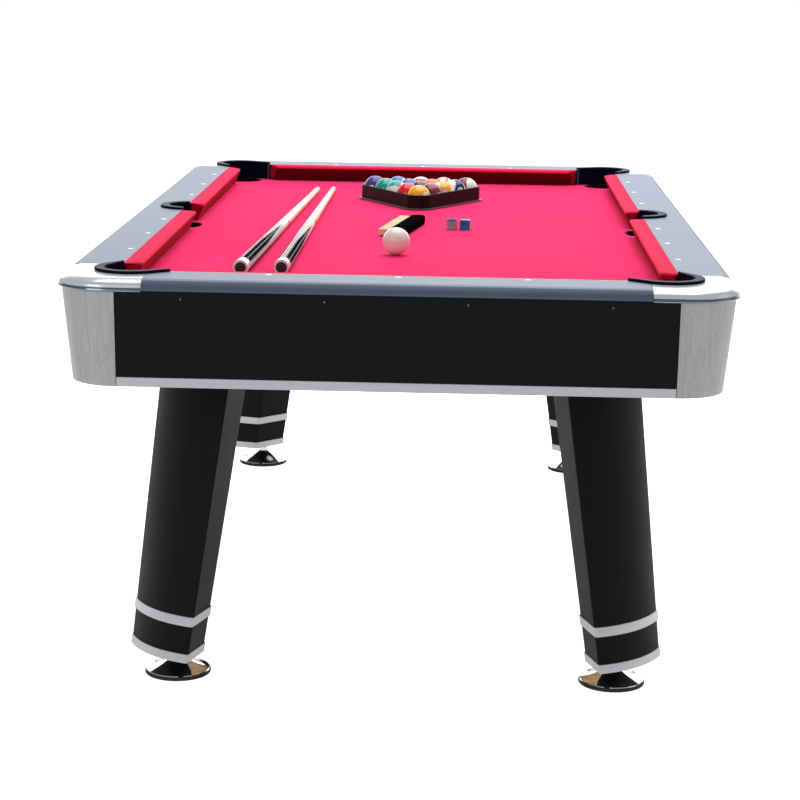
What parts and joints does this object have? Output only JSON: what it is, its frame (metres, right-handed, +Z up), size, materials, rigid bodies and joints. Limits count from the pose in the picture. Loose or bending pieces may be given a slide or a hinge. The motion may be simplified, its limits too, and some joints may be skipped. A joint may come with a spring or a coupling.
{
  "type": "pocket billiard table",
  "caption": "Home pocket billiard table on splayed levelling legs with rubber-cushioned rails, drop pockets, end ball return, and its cues, balls, rack, brush and chalk.",
  "frame": {"origin": "on the floor, under the centre of the table", "axes": "+Z up, +Y along the table's length towards the ball return, +X across it to the right as seen from the front end"},
  "size_m": [1.239, 2.203, 0.8202],
  "materials": {
    "pocket_plastic": "navy-black moulded, glossy",
    "board": "raw fibreboard",
    "playing_cloth": "crimson napped billiard cloth",
    "rail_laminate": "blue-grey satin laminate over board",
    "chrome_casting": "bright polished casting",
    "cushion_cloth": "crimson napped billiard cloth over rubber",
    "black_laminate": "black satin laminate with a fine grain",
    "silver_trim": "satin silver strip",
    "brushed_panel": "vertically brushed silver",
    "gully_plastic": "black moulded",
    "chrome_foot": "bright bell over a black rubber ring",
    "steel_stem": "plated thread and nut",
    "rack_plastic": "black-brown moulded",
    "ball_resin": "polished resin, one colour per ball",
    "cue_ball_resin": "polished ivory resin",
    "cue_wood": "varnished maple shaft, inlaid black and white butt",
    "brush_plastic": "black back with cream bristles",
    "chalk": "blue chalk in a paper wrap"
  },
  "bodies": {
    "table": {"pocket_liner_front_left": "pocket_plastic", "pocket_liner_front_right": "pocket_plastic", "pocket_liner_rear_left": "pocket_plastic", "pocket_liner_rear_right": "pocket_plastic", "pocket_liner_side_left": "pocket_plastic", "pocket_liner_side_right": "pocket_plastic", "bed_slab": "board", "playing_cloth": "playing_cloth", "rail_left": "rail_laminate", "rail_right": "rail_laminate", "rail_front": "rail_laminate", "rail_rear": "rail_laminate", "corner_cap_front_left": "chrome_casting", "corner_cap_front_right": "chrome_casting", "corner_cap_rear_left": "chrome_casting", "corner_cap_rear_right": "chrome_casting", "cushion_front_left": "cushion_cloth", "cushion_front_right": "cushion_cloth", "cushion_rear_left": "cushion_cloth", "cushion_rear_right": "cushion_cloth", "cushion_front_end": "cushion_cloth", "cushion_rear_end": "cushion_cloth", "apron_left": "black_laminate", "trim_strip_left": "silver_trim", "apron_right": "black_laminate", "trim_strip_right": "silver_trim", "apron_front": "black_laminate", "trim_strip_front": "silver_trim", "apron_rear": "black_laminate", "trim_strip_rear": "silver_trim", "corner_panel_front_left": "brushed_panel", "corner_panel_front_right": "brushed_panel", "corner_panel_rear_left": "brushed_panel", "corner_panel_rear_right": "brushed_panel", "ball_gully_left": "gully_plastic", "ball_gully_right": "gully_plastic", "ball_return_tray": "gully_plastic", "bed_beam_front": "board", "bed_beam_rear": "board", "leg_front_left": "black_laminate", "leg_front_right": "black_laminate", "leg_rear_left": "black_laminate", "leg_rear_right": "black_laminate"},
    "foot_front_left": {"foot_pad_front_left": "chrome_foot"},
    "stem_front_left": {"foot_stem_front_left": "steel_stem"},
    "foot_front_right": {"foot_pad_front_right": "chrome_foot"},
    "stem_front_right": {"foot_stem_front_right": "steel_stem"},
    "foot_rear_left": {"foot_pad_rear_left": "chrome_foot"},
    "stem_rear_left": {"foot_stem_rear_left": "steel_stem"},
    "foot_rear_right": {"foot_pad_rear_right": "chrome_foot"},
    "stem_rear_right": {"foot_stem_rear_right": "steel_stem"},
    "rack": {"ball_rack": "rack_plastic"},
    "balls": {"racked_balls": "ball_resin"},
    "cue_ball": {"cue_ball": "cue_ball_resin"},
    "cue_left": {"cue_left": "cue_wood"},
    "cue_right": {"cue_right": "cue_wood"},
    "brush": {"table_brush": "brush_plastic"},
    "chalk_wrapped": {"chalk_wrapped": "chalk"},
    "chalk_open": {"chalk_open": "chalk"}
  },
  "joints": [
    {"name": "foot_level_front_left", "type": "slide", "parent": "table", "child": "foot_front_left", "axis": [0, 0, 1], "range_m": [-0.025, 0]},
    {"name": "stem_turn_front_left", "type": "hinge", "parent": "foot_front_left", "child": "stem_front_left", "pos_m": [-0.421, -0.88, 0.04], "axis": [0, 0, 1], "range_deg": [-4505, 0]},
    {"name": "foot_level_front_right", "type": "slide", "parent": "table", "child": "foot_front_right", "axis": [0, 0, 1], "range_m": [-0.025, 0]},
    {"name": "stem_turn_front_right", "type": "hinge", "parent": "foot_front_right", "child": "stem_front_right", "pos_m": [0.421, -0.88, 0.04], "axis": [0, 0, 1], "range_deg": [-4505, 0]},
    {"name": "foot_level_rear_left", "type": "slide", "parent": "table", "child": "foot_rear_left", "axis": [0, 0, 1], "range_m": [-0.025, 0]},
    {"name": "stem_turn_rear_left", "type": "hinge", "parent": "foot_rear_left", "child": "stem_rear_left", "pos_m": [-0.421, 0.88, 0.04], "axis": [0, 0, 1], "range_deg": [-4505, 0]},
    {"name": "foot_level_rear_right", "type": "slide", "parent": "table", "child": "foot_rear_right", "axis": [0, 0, 1], "range_m": [-0.025, 0]},
    {"name": "stem_turn_rear_right", "type": "hinge", "parent": "foot_rear_right", "child": "stem_rear_right", "pos_m": [0.421, 0.88, 0.04], "axis": [0, 0, 1], "range_deg": [-4505, 0]},
    {"name": "lift_rack", "type": "slide", "parent": "table", "child": "rack", "axis": [0, 0, 1], "range_m": [0, 0.2]},
    {"name": "lift_balls", "type": "slide", "parent": "table", "child": "balls", "axis": [0, 0, 1], "range_m": [0, 0.2]},
    {"name": "lift_cue_ball", "type": "slide", "parent": "table", "child": "cue_ball", "axis": [0, 0, 1], "range_m": [0, 0.2]},
    {"name": "lift_cue_left", "type": "slide", "parent": "table", "child": "cue_left", "axis": [0, 0, 1], "range_m": [0, 0.2]},
    {"name": "lift_cue_right", "type": "slide", "parent": "table", "child": "cue_right", "axis": [0, 0, 1], "range_m": [0, 0.2]},
    {"name": "lift_brush", "type": "slide", "parent": "table", "child": "brush", "axis": [0, 0, 1], "range_m": [0, 0.2]},
    {"name": "lift_chalk_wrapped", "type": "slide", "parent": "table", "child": "chalk_wrapped", "axis": [0, 0, 1], "range_m": [0, 0.2]},
    {"name": "lift_chalk_open", "type": "slide", "parent": "table", "child": "chalk_open", "axis": [0, 0, 1], "range_m": [0, 0.2]}
  ],
  "couplings": [
    {"joint": "stem_turn_front_left", "follows": "foot_level_front_left", "rad_per_m": 3141.6},
    {"joint": "stem_turn_front_right", "follows": "foot_level_front_right", "rad_per_m": 3141.6},
    {"joint": "stem_turn_rear_left", "follows": "foot_level_rear_left", "rad_per_m": 3141.6},
    {"joint": "stem_turn_rear_right", "follows": "foot_level_rear_right", "rad_per_m": 3141.6}
  ]
}
